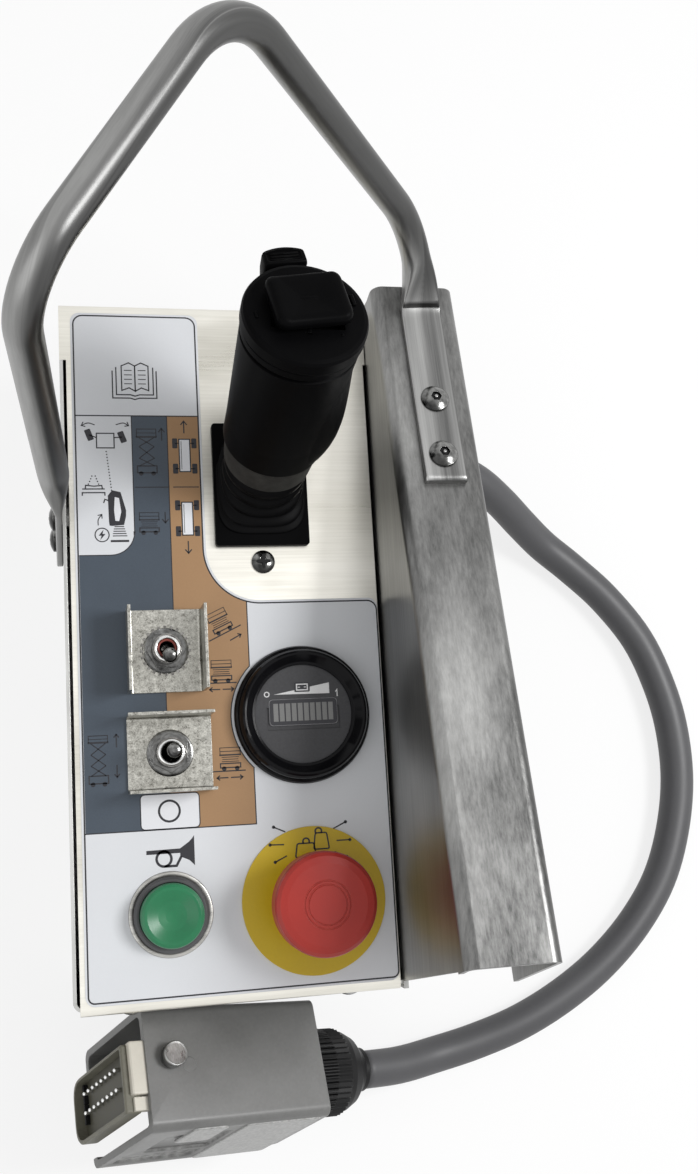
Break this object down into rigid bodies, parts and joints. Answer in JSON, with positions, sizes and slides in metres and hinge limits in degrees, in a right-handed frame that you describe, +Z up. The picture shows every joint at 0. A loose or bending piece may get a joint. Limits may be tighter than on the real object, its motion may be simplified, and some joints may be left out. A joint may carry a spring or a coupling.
{
  "type": "scissor lift control box",
  "caption": "Portable platform control box: sheet-metal case with rail hook, carry handle, pistol-grip joystick, switches, charge gauge, stop button and a cable with connector.",
  "frame": {"origin": "middle of the case's base, on the surface that it stands on", "axes": "+Z up out of the panel, +Y towards the joystick end, +X towards the rail hook"},
  "size_m": [0.3418, 0.4133, 0.2871],
  "materials": {
    "sheet_metal": "brushed sheet steel",
    "hook_metal": "brushed sheet with fine lines across it and cloudy patches",
    "brushed_plate": "brushed sheet, fine scratches",
    "printed_label": "printed polyester film in white, blue and orange",
    "screw_zinc": "zinc plated",
    "handle_grey": "bare steel tube, worn satin with streaks along it",
    "black_plastic": "satin moulded plastic",
    "boot_rubber": "satin rubber with ribs",
    "collar_grey": "dusty satin plastic",
    "yellow_plate": "satin yellow",
    "yellow_plastic": "moulded yellow plastic",
    "red_plastic": "moulded red plastic, light wear",
    "green_plastic": "moulded green plastic",
    "bezel_dark": "dark moulded plastic",
    "gauge_gloss": "glossy black",
    "gauge_face": "fine dimpled black",
    "light_bar": "pale translucent bars, unlit",
    "guard_zinc": "zinc plated sheet",
    "switch_red": "phenolic switch body",
    "switch_cream": "moulded contact block",
    "nickel": "nickel plated",
    "gland_black": "satin moulded nylon",
    "cable_grey": "matte grey jacket",
    "hood_grey": "hammered grey finish on a casting",
    "insert_olive": "moulded insert, beige and olive",
    "pin_silver": "silver plated",
    "board_green": "solder mask",
    "brass": "plain brass"
  },
  "bodies": {
    "box": {"enclosure_tray": "sheet_metal", "hook_bracket": "hook_metal", "cover_plate": "brushed_plate", "control_label": "printed_label", "cover_screws": "screw_zinc", "hook_screws": "screw_zinc", "guard_handle": "handle_grey", "handle_screws": "screw_zinc", "handle_nuts": "screw_zinc", "joystick_housing": "black_plastic", "joystick_flange": "black_plastic", "joystick_screws": "screw_zinc", "joystick_axle": "screw_zinc", "stop_disc": "yellow_plate", "stop_collar": "yellow_plastic", "stop_nut": "screw_zinc", "stop_contacts": "switch_cream", "horn_bezel": "bezel_dark", "horn_nut": "screw_zinc", "horn_contacts": "switch_cream", "gauge_bezel": "gauge_gloss", "gauge_face": "gauge_face", "gauge_lens": "light_bar", "gauge_body": "black_plastic", "gauge_clamp": "screw_zinc", "upper_guard": "guard_zinc", "upper_switch": "switch_red", "upper_bushing": "nickel", "upper_nut": "nickel", "lower_guard": "guard_zinc", "lower_switch": "switch_red", "lower_bushing": "nickel", "lower_nut": "nickel", "cable_gland": "gland_black", "gland_locknut": "screw_zinc", "supply_cable": "cable_grey", "connector_hood": "hood_grey", "hood_gland": "gland_black", "connector_insert": "insert_olive", "contact_pins": "pin_silver", "locking_pegs": "pin_silver", "circuit_board": "board_green", "board_standoffs": "brass"},
    "joystick": {"joystick_boot": "boot_rubber", "joystick_shaft": "screw_zinc", "grip_collar": "collar_grey", "joystick_grip": "black_plastic", "grip_cap": "black_plastic", "rocker_pin": "screw_zinc", "trigger_pin": "screw_zinc"},
    "rocker": {"grip_rocker": "black_plastic"},
    "trigger": {"grip_trigger": "black_plastic"},
    "stop_plunger": {"stop_stem": "black_plastic"},
    "stop_button": {"stop_head": "red_plastic"},
    "horn_button": {"horn_cap": "green_plastic"},
    "upper_toggle": {"upper_lever": "nickel"},
    "lower_toggle": {"lower_lever": "nickel"}
  },
  "joints": [
    {"name": "joystick_tilt", "type": "hinge", "parent": "box", "child": "joystick", "pos_m": [0.01528, 0.06392, 0.10243], "axis": [-1, 0, 0], "range_deg": [-20, 20], "stiffness_Nm_per_rad": 4, "springref_deg": -0.34, "deforming": ["joystick_boot"]},
    {"name": "rocker_tilt", "type": "hinge", "parent": "joystick", "child": "rocker", "pos_m": [0.01861, 0.10486, 0.21489], "axis": [-0.0096, 0.9466, -0.3221], "range_deg": [-6, 6], "stiffness_Nm_per_rad": 0.2},
    {"name": "trigger_pull", "type": "hinge", "parent": "joystick", "child": "trigger", "pos_m": [0.01808, 0.11557, 0.19699], "axis": [-0.9996, 0, 0.0297], "range_deg": [0, 6], "stiffness_Nm_per_rad": 0.3, "springref_deg": -2.86},
    {"name": "stop_press", "type": "slide", "parent": "box", "child": "stop_plunger", "axis": [0, 0, -1], "range_m": [0, 0.004]},
    {"name": "stop_twist", "type": "hinge", "parent": "stop_plunger", "child": "stop_button", "pos_m": [0.03, -0.1096, 0.13], "axis": [0, 0, -1], "range_deg": [0, 45], "stiffness_Nm_per_rad": 0.02},
    {"name": "horn_press", "type": "slide", "parent": "box", "child": "horn_button", "axis": [0, 0, -1], "range_m": [0, 0.0035], "stiffness_N_per_m": 300, "springref_m": -0.002},
    {"name": "upper_flip", "type": "hinge", "parent": "box", "child": "upper_toggle", "pos_m": [-0.0274, -0.0044, 0.1131], "axis": [-1, 0, 0], "range_deg": [0, 24]},
    {"name": "lower_flip", "type": "hinge", "parent": "box", "child": "lower_toggle", "pos_m": [-0.027, -0.0466, 0.1131], "axis": [0, 1, 0], "range_deg": [-12, 12], "stiffness_Nm_per_rad": 0.05}
  ]
}
